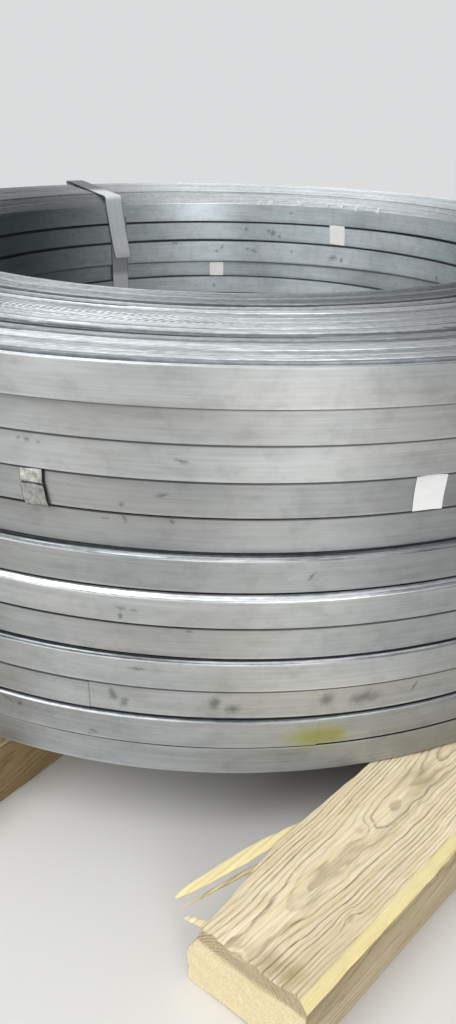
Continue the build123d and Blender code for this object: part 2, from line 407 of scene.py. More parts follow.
def slit_edge():
    """Sheared edge of the strip: a bright burnished line and a dull torn one, so each wrap glints
    by itself."""
    made, tree, shader = started("slit_strip_edge")
    place, reach, toward = from_eye(tree)
    # The vertices' tone brings painted shade in grooves and gaps, as well as the tone of each edge
    tone = add(tree, "Attribute", attribute_name="tone", out=2)
    # One wrap is 1.2 mm across; the light and dark of its edge change over about 40 mm of its length, and
    # the shear's chatter leaves marks 6 mm long
    lifted = add(tree, "Math", reach, 700.0, operation="MULTIPLY")
    upward = add(tree, "CombineXYZ", {"Z": lifted})
    long = add(tree, "VectorMath", toward, {"Scale": 9.0}, operation="SCALE")
    short = add(tree, "VectorMath", toward, {"Scale": 64.0}, operation="SCALE")
    long_place = add(tree, "VectorMath", long, upward, operation="ADD")
    short_place = add(tree, "VectorMath", short, upward, operation="ADD")
    glint = add(tree, "TexNoise", {"Vector": long_place, "Scale": 1.0, "Detail": 3.0, "Roughness": 0.6})
    chatter = add(tree, "TexNoise", {"Vector": short_place, "Scale": 1.0, "Detail": 2.0})
    both = add(tree, "Math", glint, chatter, operation="ADD")
    varied = add(tree, "MapRange", both, 0.7, 1.3, 0.76, 1.22)
    # On the near left side a band of wraps shows the slanted marks of the shear, 4 mm apart
    east = add(tree, "VectorMath", place, (1, 0, 0), operation="DOT_PRODUCT", out=1)
    north = add(tree, "VectorMath", place, (0, 1, 0), operation="DOT_PRODUCT", out=1)
    angle = add(tree, "Math", north, east, operation="ARCTAN2")
    slant = add(tree, "Math", reach, 1650.0, operation="MULTIPLY")
    phase = add(tree, "Math", angle, 460.0, slant, operation="MULTIPLY_ADD")
    strokes = add(tree, "Math", phase, operation="SINE")
    off = add(tree, "Math", reach, 0.320, operation="SUBTRACT")
    away = add(tree, "Math", off, operation="ABSOLUTE")
    band = add(tree, "MapRange", away, 0.006, 0.011, 1.0, 0.0)
    side = add(tree, "VectorMath", toward, (0.454, -0.891, 0), operation="DOT_PRODUCT", out=1)
    shown = add(tree, "MapRange", side, 0.93, 0.98, 0.0, 0.36)
    here = add(tree, "Math", band, shown, operation="MULTIPLY")
    marks = add(tree, "Math", strokes, here, 1.0, operation="MULTIPLY_ADD")
    struck = add(tree, "Math", varied, marks, operation="MULTIPLY")
    level = add(tree, "Math", tone, struck, operation="MULTIPLY", use_clamp=True)
    base = add(tree, "ValToRGB", level,
               stops=((0.0, "#0c0d0e"), (1.0, "#eceff0"), (0.12, "#3b3f41"), (0.5, "#a6abae")))
    rough = add(tree, "MapRange", level, 0.0, 1.0, 0.60, 0.42)
    fill(tree, shader, {"Base Color": base, "Metallic": 1.0, "Roughness": rough})
    return made


def strapping():
    """Cold rolled steel strapping, waxed: an even light satin grey, with scuffs along its length."""
    made, tree, shader = started("waxed_steel_strapping")
    place = add(tree, "TexCoord", out=2)
    # Scuffs are 1.5 mm wide and 70 mm long
    long = add(tree, "Mapping", {"Vector": place, "Scale": (700.0, 14.0, 1.0)})
    scuff = add(tree, "TexNoise", {"Vector": long, "Scale": 1.0, "Detail": 5.0, "Roughness": 0.6})
    base = add(tree, "Mix", scuff, {6: "#c4c9cc", 7: "#eceeef"}, **colours)
    # The tone of the vertices paints light and shade along the strap
    tone = add(tree, "Attribute", attribute_name="tone", out=2)
    shade = add(tree, "VectorMath", base, {"Scale": tone}, operation="SCALE")
    rough = add(tree, "MapRange", scuff, 0.3, 0.7, 0.46, 0.60)
    # Steel under a film of wax, which is why the metal is not quite bare
    fill(tree, shader, {"Base Color": shade, "Metallic": 0.75, "Roughness": rough})
    return made


def clip_sheet():
    """Folded galvanised sheet, handled and mottled in patches of 4 mm."""
    made, tree, shader = started("galvanised_clip_sheet")
    place = add(tree, "TexCoord", out=3)
    mottle = add(tree, "TexNoise", {"Vector": place, "Scale": 260.0, "Detail": 5.0, "Roughness": 0.7})
    base = add(tree, "ValToRGB", mottle, stops=((0.3, "#8d8e8d"), (0.7, "#f0f0ec"), (0.5, "#cbcbc7")))
    tone = add(tree, "Attribute", attribute_name="tone", out=2)
    shade = add(tree, "VectorMath", base, {"Scale": tone}, operation="SCALE")
    rough = add(tree, "MapRange", mottle, 0.3, 0.7, 0.48, 0.62)
    fill(tree, shader, {"Base Color": shade, "Metallic": 1.0, "Roughness": rough})
    return made


def white_tape():
    """White plastic film tape: semi gloss, and a little soiled in patches of 8 mm."""
    made, tree, shader = started("white_film_tape")
    place = add(tree, "TexCoord", out=3)
    soil = add(tree, "TexNoise", {"Vector": place, "Scale": 120.0, "Detail": 4.0, "Roughness": 0.6})
    base = add(tree, "Mix", soil, {6: "#e9ebea", 7: "#fdfdfc"}, **colours)
    bump = add(tree, "Bump", {"Strength": 0.3, "Distance": 0.0002, "Height": soil})
    fill(tree, shader, {"Base Color": base, "Roughness": 0.42, "Normal": bump})
    return made


def marking_paint():
    """Dabs of white marking paint, matt and uneven over 1.5 mm."""
    made, tree, shader = started("white_marking_paint")
    place = add(tree, "TexCoord", out=3)
    lump = add(tree, "TexNoise", {"Vector": place, "Scale": 700.0, "Detail": 3.0})
    base = add(tree, "Mix", lump, {6: "#eff0ef", 7: "#ffffff"}, **colours)
    fill(tree, shader, {"Base Color": base, "Roughness": 0.7})
    return made


def sawn_softwood():
    """Rough sawn softwood, weathered. Each vertex holds its distance from the pith, in millimetres; whole
    steps of that are the growth rings, so the flat face shows flames along its middle and close lines at
    its sides."""
    made, tree, shader = started("rough_sawn_softwood")
    inside = add(tree, "Attribute", attribute_name="inside", out=1)
    away = add(tree, "Attribute", attribute_name="from_pith", out=2)
    # Rings wander by half a millimetre over 4 mm across and 30 mm along; they are 1.75 mm apart
    swing_place = add(tree, "VectorMath", inside, (260.0, 34.0, 260.0), operation="MULTIPLY")
    swing = add(tree, "TexNoise", {"Vector": swing_place, "Scale": 1.0, "Detail": 3.0, "Roughness": 0.55})
    swung = add(tree, "Math", swing, 1.5, away, operation="MULTIPLY_ADD")
    turns = add(tree, "Math", swung, 1.0 / 1.75, operation="MULTIPLY")
    ring = add(tree, "Math", turns, operation="FRACT")
    line = add(tree, "MapRange", ring, 0.50, 0.88, **smooth)
    edge = add(tree, "MapRange", ring, 0.88, 1.0, 1.0, 0.0, **smooth)
    late = add(tree, "Math", line, edge, operation="MULTIPLY")
    # Each ring has its own strength
    count = add(tree, "Math", turns, operation="FLOOR")
    year = add(tree, "TexWhiteNoise", {"W": count}, noise_dimensions="1D")
    strong = add(tree, "MapRange", year, 0.0, 1.0, 0.25, 1.0)
    lined = add(tree, "Math", late, strong, operation="MULTIPLY")
    # Fibres 1 mm wide and 40 mm long
    fibre_place = add(tree, "VectorMath", inside, (900.0, 24.0, 900.0), operation="MULTIPLY")
    fibre = add(tree, "TexNoise", {"Vector": fibre_place, "Scale": 1.0, "Detail": 5.0, "Roughness": 0.65})
    grain = add(tree, "MapRange", fibre, 0.26, 0.66)
    pale = add(tree, "Mix", grain, {6: "#dec693", 7: "#fdf1d5"}, **colours)
    # Dirt that was walked in: the vertices say where, and a noise of 2 by 23 mm draws it out along
    # the grain
    dirt_place = add(tree, "VectorMath", inside, (560.0, 44.0, 560.0), operation="MULTIPLY")
    dirt = add(tree, "TexNoise", {"Vector": dirt_place, "Scale": 1.0, "Detail": 7.0, "Roughness": 0.7})
    broken = add(tree, "MapRange", dirt, 0.36, 0.60, 1.0, 0.35)
    # The saw has torn the ends, where the dirt's value is below zero, so the rings show weakly there
    where = add(tree, "Attribute", attribute_name="dirt", out=2)
    torn = add(tree, "MapRange", where, -1.0, 0.0, 0.30, 1.0)
    split = add(tree, "Math", broken, torn, operation="MULTIPLY")
    drawn = add(tree, "Math", lined, split, operation="MULTIPLY")
    ringed = add(tree, "Mix", drawn, {6: pale, 7: "#7d6542"}, **colours)
    ragged = add(tree, "Math", where, dirt, operation="MULTIPLY")
    grime = add(tree, "MapRange", ragged, 0.27, 0.60, 0.0, 0.66)
    soiled = add(tree, "Mix", grime, {6: ringed, 7: "#86734f"}, **colours)
    # The tone of the vertices says how grey the wood has grown with weather, with painted shade on its
    # sides, and their freshness where it was sawn lately
    weather = add(tree, "Attribute", attribute_name="tone", out=2)
    grey = add(tree, "Mix", fibre, {6: "#5f4c2b", 7: "#a58c5c"}, **colours)
    old = add(tree, "Mix", drawn, {6: grey, 7: "#4a3b22"}, **colours)
    aged = add(tree, "Mix", weather, {6: soiled, 7: old}, **colours)
    fresh = add(tree, "Attribute", attribute_name="fresh", out=2)
    sawn = add(tree, "Mix", fibre, {6: "#ecd88e", 7: "#fff3c2"}, **colours)
    final = add(tree, "Mix", fresh, {6: aged, 7: sawn}, **colours)
    height = add(tree, "Math", fibre, drawn, operation="SUBTRACT")
    bump = add(tree, "Bump", {"Strength": 0.7, "Distance": 0.0006, "Height": height})
    fill(tree, shader, {"Base Color": final, "Roughness": 0.85, "Normal": bump})
    return made


face_steel = strip_face()
edge_steel = slit_edge()
strap_steel = strapping()
clip_steel = clip_sheet()
tape_film = white_tape()
paint_dab = marking_paint()
softwood = sawn_softwood()


# Coils
round_points = 257
# Share of each coil's height or run at which a wall has rows of its own between its ends
wall_shares = (0.25, 0.5, 0.75)
# How far the shoulders of a wrap's edge lie in from its faces
shoulder = 0.28
# Innermost and outermost wraps that are drawn on the coils under the top one
inner_shown, outer_shown = 6, 10
# The two finishes of a coil, as its rows name them
wall_finish, edge_finish = 0, 1


def shaded_side(bearings):
    """Share of painted shade on the eye's side turned from the light: a smooth hump on one side of the eye.
    """
    return hump(bearings, 198.0, 40.0)


def grouped(wraps, bearings):
    """How low each wrap of the top coil lies and how bright its edge is: the groups' table, read a little
    to one side or the other as the bearing changes, because each wrap follows its own line."""
    firsts, lies, tones = (np.array(part, float) for part in zip(*top_groups))
    groove_wrap, bright_from, steady_from, low_from, inner_end = 29, 98, 104, 108, 28
    wander = 1.1 * cycles(bearings, 11, 1, 1, 9)[0][None, :] * np.sin(wraps[:, None] / 7.0 + 0.6)
    wander = wander + 0.5 * cycles(bearings, 12, len(wraps), 1, 14)
    read = np.clip(wraps[:, None] + wander * (wraps[:, None] < steady_from), 0, wraps.max())
    group = np.clip(np.searchsorted(firsts, np.round(read), side="right") - 1, 0, len(firsts) - 1)
    # On the far side the tops are even, apart from a groove where the slump starts, painted darker as shade
    far = eased((facing(bearings, 135.0) - 0.45) / 0.3)[None, :]
    even = (0.76 - 0.28 * (np.abs(wraps - groove_wrap) < 1.3) + 0.06 * (wraps > bright_from))[:, None]
    even = even * (1 - 0.14 * hump(bearings, 110.0, 36.0) + 0.20 * hump(bearings, 150.0, 24.0))[None, :]
    lie = lies[group] * (1 - 0.7 * far * (wraps < low_from)[:, None])
    tone = tones[group] * (1 - far) + (even * (0.8 + 0.25 * tones[group])) * far
    # On the near left side the inner wraps are the brighter ones
    near_left = hump(bearings, -95.0, 60.0)[None, :]
    inner = (wraps < inner_end)[:, None]
    tone = tone * np.where(inner, 1 + 0.5 * near_left, 1 - 0.36 * near_left)
    # The edges on the side of the eye turned from the light are painted darker, as shade
    return lie, tone * (1 - 0.30 * shaded_side(bearings))[None, :]


def slump(number, wraps, bearings):
    """How far wraps have slumped: most at one bearing, a raised cosine round the eye, less with each wrap
    outwards."""
    inward = np.clip(1 - wraps / slump_wraps, 0, 1)
    return slumps[number - 1] * inward[:, None] * (facing(bearings) ** 1.3)[None, :]


def wrap_lies(number, wraps, bearings):
    """How low the edge of each wrap lies, how much of that is slump, how far the edge slopes down outwards,
    and how bright it is. Each wrap wanders up and down by about 0.1 mm, and each three wraps do so
    together."""
    count = len(wraps)
    jitter = 0.10 * cycles(bearings, 100 + number, count, 2, 20) \
        + 0.10 * np.repeat(cycles(bearings, 200 + number, count // 3 + 1, 1, 10), 3, axis=0)[:count]
    if number == 1:
        lie, tone = grouped(wraps.astype(float), bearings)
        slopes = np.zeros(count)
    else:
        # Only wraps beyond the coil above are in the light
        bright, lows, tilt = ledges.get(number, no_ledge)
        in_light = bore_radius + wraps * strip_gauge > coil_radius(number - 1) - 0.5
        # Round that bearing the ledges are painted darker, as shade
        duller = 0.0 if number == widest_ledge else 0.6
        bright = bright * (1 - duller * hump(bearings, shaded_ledge_bearing, 40.0))
        lie = np.full((count, len(bearings)), 0.15)
        lie[-3:] += np.array(lows)[:, None]
        glints = 1 + 0.22 * cycles(bearings, 300 + number, count, 8, 44, 0.3)
        tone = np.where(in_light[:, None], np.clip(bright * glints, 0.1, 1.0), gap_tone)
        slopes = tilt * in_light
    sunk = slump(number, wraps.astype(float), bearings)
    return np.clip(lie + jitter, -0.15, 3.0) + sunk, sunk, slopes, tone


def eye_wall(number, bearings, inner, brow, wobble):
    """Rows of the eye wall, from its foot up to its brow: the foot follows the slump, and the wall bows a
    little."""
    top = number == 1
    # The tone of the eye wall paints shade: darker on the side turned from the light and deeper in the eye
    shade = (1.04 + 0.05 * cycles(bearings, 500 + number, 1, 1, 5)[0]) * (1 - 0.68 * shaded_side(bearings)) \
        * eye_depth_shades[number - 1]
    # Patches of the wall are painted lighter or darker, as light and shade
    for middle, reach, on_top, below in painted_light_patches:
        shade = shade * (1 + (on_top if top else below) * hump(bearings, middle, reach))
    foot = coil_bottom(number) - slump(number, np.array([0.0]), bearings)[0] + 0.9 \
        + 0.3 * cycles(bearings, 700 + number, 1, 1, 8)[0]
    foot = foot - foot_slips.get(number, 0.0) * facing(bearings) ** 1.3
    dim = shaded_feet.get(number, 0.7)
    # The foot of the eye wall, and the brow of each coil under the top one, are painted dark as shade in the
    # gaps
    rows = [(inner + 0.5, foot, 0.12, edge_finish), (inner + 0.1, foot + 0.15, 0.15, wall_finish),
            (inner, foot + dim, shade, wall_finish)]
    for share in wall_shares:
        bow = 0.10 * np.sin(np.pi * share) * wobble[1] * 3
        rows.append((inner + bow, foot + dim + (brow - foot - dim - 1.2) * share, shade, wall_finish))
    rows.append((inner, brow - (0.7 if top else 1.2), shade, wall_finish))
    rows.append((inner, brow - 0.4, shade if top else 0.12, wall_finish))
    return rows


def wrap_edges(number, wraps, bearings, inner, outer):
    """Rows over the edges of the wraps, outwards: before each wrap a groove, and then the wrap's two
    shoulders. How low the innermost and the outermost edge lie is given back too."""
    high = coil_bottom(number) + strip_width
    level, sunk, slopes, tone = wrap_lies(number, wraps, bearings)
    rows = []
    for place, wrap in enumerate(wraps):
        start = bore_radius + wrap * strip_gauge
        here = level[place]
        # Each groove before a wrap, and the gap where wraps are left out, is painted darker, as shade
        if place:
            follows = wrap - wraps[place - 1] == 1
            if not follows:
                rows.append((start - strip_gauge * 2, high - 0.3 - sunk[place], 0.02, edge_finish))
            before = level[place - 1] + slopes[place - 1] if follows else here
            groove = high - np.maximum(here, before) - (0.12 if slopes[place] else 0.32)
            rows.append((start, groove, (0.55 if slopes[place] else 0.22) * tone[place], edge_finish))
        near = start + shoulder if wrap else np.maximum(start + shoulder, inner + 0.12)
        far = outer - 0.30 if place == len(wraps) - 1 else start + strip_gauge - shoulder
        rows.append((near, high - here, tone[place], edge_finish))
        rows.append((far, high - here - slopes[place], tone[place], edge_finish))
    return rows, level[0], level[-1] + slopes[-1]


def outer_wall(number, bearings, outer, rim, wobble):
    """Rows of the outer wall, from its crest down to its lower edge, which is lifted a little, and on to
    where the coil lies on the next one."""
    top = number == 1
    low = coil_bottom(number)
    share_right = eased((bearings + 65.0) / 43.0)
    left_lift, right_lift = gap_lifts[number - 1]
    lift = np.maximum(left_lift * (1 - share_right) + right_lift * share_right + 0.25 * wobble[2], 0.15)
    bottom = low + lift - (1.9 if top else 0.0)
    # The outer wall is painted darker round bearing -74, as shade on its left end
    shade = wall_tones[number - 1] * (1 + 0.05 * cycles(bearings, 600 + number, 1, 1, 6)[0]) \
        * (1 - 0.42 * hump(bearings, -74.0, 18.0))
    # A painted highlight along the lower edge of the outer wall, where the burr of the slitting knives
    # catches the light, and a painted shade just under it
    burr_glint = 1.08 + 0.06 * cycles(bearings, 800 + number, 1, 4, 40, 0.3)[0]
    shaded = shaded_heights[number - 1]
    dim = 0.28 if shaded else 1.0
    crest = low + strip_width - rim - 0.22
    start, end = crest - 0.9 - shaded * 1.3, bottom + 1.8
    rows = [(outer - 0.05, crest, dim * shade, wall_finish),
            (outer, crest - 0.3 - shaded, dim * shade, wall_finish), (outer, start, shade, wall_finish)]
    for share in wall_shares:
        bow = 0.12 * np.sin(np.pi * share) * wobble[1] - 0.15 * np.abs(wobble[2])
        rows.append((outer + bow, start + (end - start) * share, shade, wall_finish))
    under = bore_radius + (wrap_count - (0 if top else inner_shown)) * strip_gauge
    return rows + [
        (outer, end, shade, wall_finish),
        (outer, bottom + 1.2, shade * burr_glint, wall_finish),
        (outer - 0.03, bottom + 0.35, shade * burr_glint, wall_finish),
        (outer - 0.25, bottom + 0.10, shade * 0.45, wall_finish),
        (outer - 0.7, bottom, gap_tone, edge_finish),
        (under + 1.0, bottom + 0.1, gap_tone, edge_finish),
        (under, low + 0.1, gap_tone, edge_finish),
        (bore_radius + slump_wraps * strip_gauge, low, 0.02, edge_finish),
    ]


def coil(number):
    """One coil as a closed skin: the profile runs up the eye wall, outwards over the edges of the wraps,
    down the outer wall and back underneath, and each of its rows goes once round the eye from the tail of
    the last wrap."""
    count = wrap_count + extra_wrap_counts[number - 1]
    turn = np.linspace(0, 1, round_points)
    bearings = tail_bearings[number - 1] + np.linspace(0, 360, round_points)
    # Wraps that are drawn one by one; the others lie under the next coil
    wraps = np.arange(count)
    if number > 1:
        wraps = np.concatenate([wraps[:inner_shown], wraps[-outer_shown:]])
    wobble = 0.10 * cycles(bearings, 400 + number, 3, 1, 7)
    # The eye grows by one gauge just before its full turn, where the first wrap goes under the second
    inner = bore_radius + strip_gauge * eased((turn - 0.93) / 0.07) + 0.25 + 0.1 * np.abs(wobble[0])
    inner = inner + set_backs.get(number, 0.0) * facing(bearings)
    # The last wrap leaves the round of the coil towards its end, or lies one gauge in until a
    # quarter turn on
    proud = proud_tails.get(number, 0.0)
    step = strip_gauge * (proud * eased((turn - 0.5) * 2) if proud else eased(turn / 0.25) - 1)
    outer = coil_radius(number) - 0.15 + step
    edges, brow_low, rim_low = wrap_edges(number, wraps, bearings, inner, outer)
    eye = eye_wall(number, bearings, inner, coil_bottom(number) + strip_width - brow_low, wobble)
    outside = outer_wall(number, bearings, outer, rim_low, wobble)
    radii, heights, shades, finishes = zip(*eye, *edges, *outside)
    radii, heights, shades = (np.array([part * np.ones(round_points) for part in parts])
                              for parts in (radii, heights, shades))
    radii[:, -1] = np.where(np.abs(radii[:, -1] - radii[:, 0]) < 0.05, radii[:, 0], radii[:, -1])
    angle = np.radians(bearings)[None, :]
    points = np.stack([radii * np.cos(angle), radii * np.sin(angle), heights], -1)
    travelled = np.where(np.arange(len(radii)) < len(eye), bore_radius, wall_radius)[:, None] / 1000
    uv = np.stack([angle * travelled, heights / 1000], -1)
    surface("coil_%02d_skin" % number, points, [face_steel, edge_steel],
            ["strip_coil_%02d" % number], ring=True, uv=uv, finish_of_row=list(finishes[1:]) + [edge_finish],
            tone=shades)


for number in range(1, coil_count + 1):
    coil(number)


# Straps
strap_width = 20.0
strap_gauge = 0.5


def rounded_path(corners, radii, step=6.0):
    """Path through corners, each bend a curve that touches both runs at its tangent length from
    the corner."""
    corners = [np.array(c, float) for c in corners]
    made = [corners[0]]
    for before, corner, after, radius in zip(corners, corners[1:], corners[2:], radii):
        back = (before - corner) / np.linalg.norm(before - corner)
        on = (after - corner) / np.linalg.norm(after - corner)
        half = np.arccos(np.clip(back @ on, -1, 1)) / 2
        reach = radius / np.tan(half)
        t = np.linspace(0, 1, 9)[:, None]
        start, end = corner + back * reach, corner + on * reach
        made.extend((1 - t) ** 2 * start + 2 * t * (1 - t) * corner + t ** 2 * end)
    made.append(corners[-1])
    made = np.array(made)
    length = run_of(made)
    at = np.unique(np.concatenate([length, np.arange(0, length[-1], step)]))
    return np.stack([np.interp(at, length, made[:, k]) for k in range(made.shape[1])], -1)


def strap_band(index, path, bearing, aside, shade):
    """Strap along a path of radius and height: its section is a rectangle with eased corners, carried along
    the path and moved aside. Its tone is the painted light and shade along the path, and it is painted
    darker at its two edges, as shade."""
    along = np.gradient(path, axis=0)
    along = along / np.linalg.norm(along, axis=1)[:, None]
    half, thick, ease, rim = strap_width / 2, strap_gauge / 2, strap_gauge * 0.35, 0.9
    section = np.array([
        (-half, -thick + ease), (-half + ease, -thick), (-half + rim, -thick), (half - rim, -thick),
        (half - ease, -thick), (half, -thick + ease), (half, thick - ease), (half - ease, thick),
        (half - rim, thick), (-half + rim, thick), (-half + ease, thick), (-half, thick - ease),
    ])
    across, out = section[None, :, 0], section[None, :, 1]
    side = across + aside[:, None]
    radius = path[:, None, 0] + along[:, None, 1] * out
    height = path[:, None, 1] - along[:, None, 0] * out
    turned = np.radians(bearing)
    x = radius * np.cos(turned) - side * np.sin(turned)
    y = radius * np.sin(turned) + side * np.cos(turned)
    uv = np.stack(np.broadcast_arrays(across / 1000, run_of(path)[:, None] / 1000), -1)
    # Both edges are painted dark, as shade
    tone = shade[:, None] * np.where(np.abs(across) > half - 0.5, 0.3, 1)
    surface("strap_band_%d" % index, np.stack([x, y, height], -1), [strap_steel],
            ["steel_strap_%d" % index], uv=uv, tone=tone)


def strap(index, bearing, turns, painted_top_shade):
    """Strap round the ring of the stack: up under the coils, over the loose fold at the top edge and down
    the eye, where its free end laps over its own start and stands off a little. Turns are how far it lies
    aside, given from its start and back from its end."""
    inner = bore_radius - 0.35
    lap = inner - 0.9
    under = stack_bottom - 0.45
    over = stack_top + 0.4
    widest = coil_radius(9) + 0.4
    top_radius = coil_radius(1) + 1.5
    corners = [
        (inner, 284.0), (inner, under), (widest, under), (widest + 0.2, coil_bottom(2) - 2.0),
        (top_radius + 0.6, coil_bottom(2) + 6.0), (top_radius + 7.6, over + 2.8),
        (top_radius - 12.0, over + 2.7), (top_radius - 82.0, over + 0.9), (lap, over), (lap, 262.0),
        (lap - 1.6, 238.4),
    ]
    path = rounded_path(corners, (2.0, 2.0, 6.0, 4.0, 1.3, 2.0, 8.0, 5.0, 6.0))
    run = run_of(path)
    end = run[-1]
    places, asides = zip(*turns)
    aside = np.interp(run, [end + place if place < 0 else place for place in places[:-1]] + [end], asides)
    # The tone along the strap is painted light and shade: darker at its start low in the eye, set for each
    # strap over the top, where the first strap is painted dark as a reflection, a painted highlight at the
    # bend into the eye, and a painted shade at the very end of the lap
    shade = np.interp(run - end, [-900, -214, -205, -135, -108, -72, -64, -2, 0],
                      [0.52, 0.52, painted_top_shade, painted_top_shade, 1.35, 1.35, 1.10, 1.0, 0.35])
    shade = np.where((run > 60) & (run < end - 214), 0.9, shade)
    strap_band(index, path, bearing, aside, shade)


strap(1, 167.0, ((0, -1.8), (-480, -2.0), (-230, -8.0), (-205, -7.0), (-76, 2.6), (-60, 3.2), (-40, 0.4),
                 (0, -5.4)), 0.38)
strap(2, 250.0, ((0, 0.0), (-300, 1.0), (-66, 1.5), (0, 2.5)), 0.9)
strap(3, 45.0, ((0, 0.5), (-300, -1.0), (-66, -2.0), (0, -0.5)), 0.9)


# Tapes, clip and dabs
def wall_sheet(name, bearing, radius, low, high, width, gauge, finish, stands_for=(), *, seed, lean=0.0,
               wave=0.2, inside=False, curl=0.0, shade=1.0, painted_edge_shade=1.0):
    """Thin sheet on a round wall: a section that runs over its front and back is carried up its height, its
    outline a little uneven, leaning sideways by lean and standing off by curl at its side edges."""
    half = width / 2
    over = np.concatenate([[-1.0, -1 + 0.8 / width], np.linspace(-0.8, 0.8, 13), [1 - 0.8 / width, 1.0]])
    u = np.concatenate([over, over[::-1]])[None, :]
    front = (np.arange(u.size) < len(over))[None, :]
    v = np.concatenate([[-1.0], np.linspace(-0.92, 0.92, 13), [1.0]])[:, None]
    edge = np.abs(u) ** 10
    rim = np.abs(v) ** 10
    thick = gauge * (1 - 0.35 * np.maximum(edge, rim))
    lift = 0.02 + curl * u ** 6 + 0.12 * gauge * waves(seed + 9, 6, u * 3, v * 3)
    reach = front * thick + lift
    r = radius - reach if inside else radius + reach
    x = u * half + lean * v + wave * edge * waves(seed, 5, u * 0.5, v * 2.5)
    z = (low + high) / 2 + v * (high - low) / 2 + wave * rim * waves(seed + 50, 5, u * 2.5, v * 0.5)
    angle = np.radians(bearing) + x / radius
    points = np.stack([r * np.cos(angle), r * np.sin(angle), z], -1)
    # The side edges and the lower edge take the painted edge shade
    tone = np.where((np.abs(u) > 0.99) | (v < -0.99), painted_edge_shade, shade)
    surface(name, points, [finish], stands_for, tone=tone)


clip_low = coil_bottom(4)
clip_radius = coil_radius(4)
wall_sheet("outer_tape_film", -28.4, clip_radius, clip_low + 0.6, clip_low + 20.8, 17.4, 0.18, tape_film,
           ["outer_tape_1"], seed=3)
wall_sheet("eye_tape_film_1", 106.5, bore_radius + 0.2, 258.6, 279.2, 18.5, 0.18, tape_film,
           ["eye_tape_1"], lean=0.9, seed=4, inside=True)
wall_sheet("eye_tape_film_2", 139.5, bore_radius + 1.2, 214.0, 231.6, 17.0, 0.18, tape_film,
           ["eye_tape_2"], lean=0.4, seed=5, inside=True)
# The back of the clip is painted dark as shade behind its tabs, and the edges of its sheets are painted dark
# as shade; the lower tab is darker
wall_sheet("clip_back", -59.45, clip_radius - 0.1, clip_low + 0.1, clip_low + 20.8, 12.6, 0.35, clip_steel,
           ["wrap_clip"], seed=6, wave=0.1, shade=0.25, painted_edge_shade=0.1)
wall_sheet("clip_tab_upper", -59.45, clip_radius + 0.25, clip_low + 13.2, clip_low + 20.9, 12.6, 0.9,
           clip_steel, seed=7, wave=0.15, lean=0.2, curl=0.35, painted_edge_shade=0.12)
wall_sheet("clip_tab_lower", -59.3, clip_radius + 0.25, clip_low, clip_low + 11.4, 13.6, 1.0,
           clip_steel, seed=8, wave=0.3, lean=-1.2, curl=0.45, shade=0.66, painted_edge_shade=0.12)
# Dabs of paint: bearing, height, width, height and lean of each
paint_dabs = (
    (128.6, 298.6, 4.2, 5.0, -1.8), (125.4, 299.4, 5.4, 4.6, -0.5), (117.6, 300.0, 3.8, 5.2, 0.5),
    (110.0, 300.2, 2.8, 5.0, -0.6), (106.1, 300.4, 4.6, 4.4, 0.6), (101.9, 299.6, 2.8, 6.0, -0.8),
    (95.7, 300.0, 3.0, 5.4, -0.8),
)
for place, (bearing, height, wide, tall, lean) in enumerate(paint_dabs):
    wall_sheet("paint_dab_%d" % (place + 1), bearing, bore_radius + 0.3, height - tall / 2, height + tall / 2,
               wide, 0.35, paint_dab, seed=20 + place, wave=0.6, lean=lean, inside=True)


# Timbers
timber_width, timber_height, timber_length = 70.0, 50.0, 800.0
# The sawn corner: how far it runs down the side and over the top
wane_drop, wane_over = 7.0, 4.9
# Knots: across, along and size of each
knots = ((-6.9, -297.0, 3.2), (21.0, -346.0, 3.0), (-20.0, -140.0, 5.0))
# Dirt spots on the top face: across, along, width, length and amount of each
dirt_spots = (
    (-8, -394, 6, 8, 0.6), (9, -392, 8, 9, 0.55), (21, -390, 7, 10, 0.5), (3, -351, 5, 10, 0.35),
    (-4, -235, 9, 22, 0.35), (22, -345, 3, 4, 0.6), (-7, -335, 4, 8, 0.25), (-7, -297, 3, 5, 0.35),
)
# Sizes of the rings that close an end, as shares of the section
end_rings = np.array([0.985, 0.93, 0.84, 0.74, 0.64, 0.54, 0.44, 0.34, 0.24, 0.14, 0.05])


def pith_distance(x, y, z, seed):
    """Distance from the pith, in mm: it runs along the timber some 12 to 18 mm under the top face and
    snakes, so that rings reach the face as flames that point to the near end, and the knots push the rings
    aside."""
    across = -6.0 + 2.5 * np.cos((y + 300) / 55.0 + seed - 1) - 0.02 * (y + 300)
    depth = 13.0 - 0.042 * (y + 200) + 0.45 * np.sin((y + 257) * 2 * np.pi / 66.0)
    depth = np.abs(depth) + 2.0
    away = np.hypot(x - across, z - (timber_height - depth))
    for knot_x, knot_y, size in knots:
        near = np.exp(-((x - knot_x) ** 2 + ((y - knot_y) / 1.6) ** 2) / (2 * size ** 2)) * (z > 25)
        away = away + 2.6 * near
    return away


def timber_section(age, newness):
    """Outline of a timber's section as x and z, and for each point the number of its side, whether it is a
    corner, how grey it is with weather and painted shade, and how freshly sawn: the sides are the foot,
    the right side, the sawn corner, the top face and the left side."""
    half = timber_width / 2
    corners = np.array([(-half, 0), (half, 0), (half, timber_height - wane_drop),
                        (half - wane_over, timber_height), (-half, timber_height)], float)
    counts = (12, 18, 6, 36, 18)
    # The foot and the sides get more than the top face: partly the grey of weather, partly painted shade on
    # faces turned from the light
    weather_and_shade = (0.6, 0.55 + age, 0.05 + age, age, 0.5 + age)
    newly_cut = (0.0, 0.0, newness, 0.0, 0.0)
    outline = []
    for start, end, count in zip(corners, np.roll(corners, -1, 0), counts):
        size = np.linalg.norm(end - start)
        t = np.concatenate([[0.0, 0.9 / size], np.linspace(0, 1, count + 1)[1:-1], [1 - 0.9 / size]])
        outline.append(start + (end - start) * t[:, None])
    sides = np.repeat(np.arange(len(counts)), [len(part) for part in outline])
    is_corner = np.concatenate([np.arange(len(part)) == 0 for part in outline])
    return np.concatenate(outline), sides, is_corner, np.array(weather_and_shade)[sides], np.array(newly_cut)[sides]


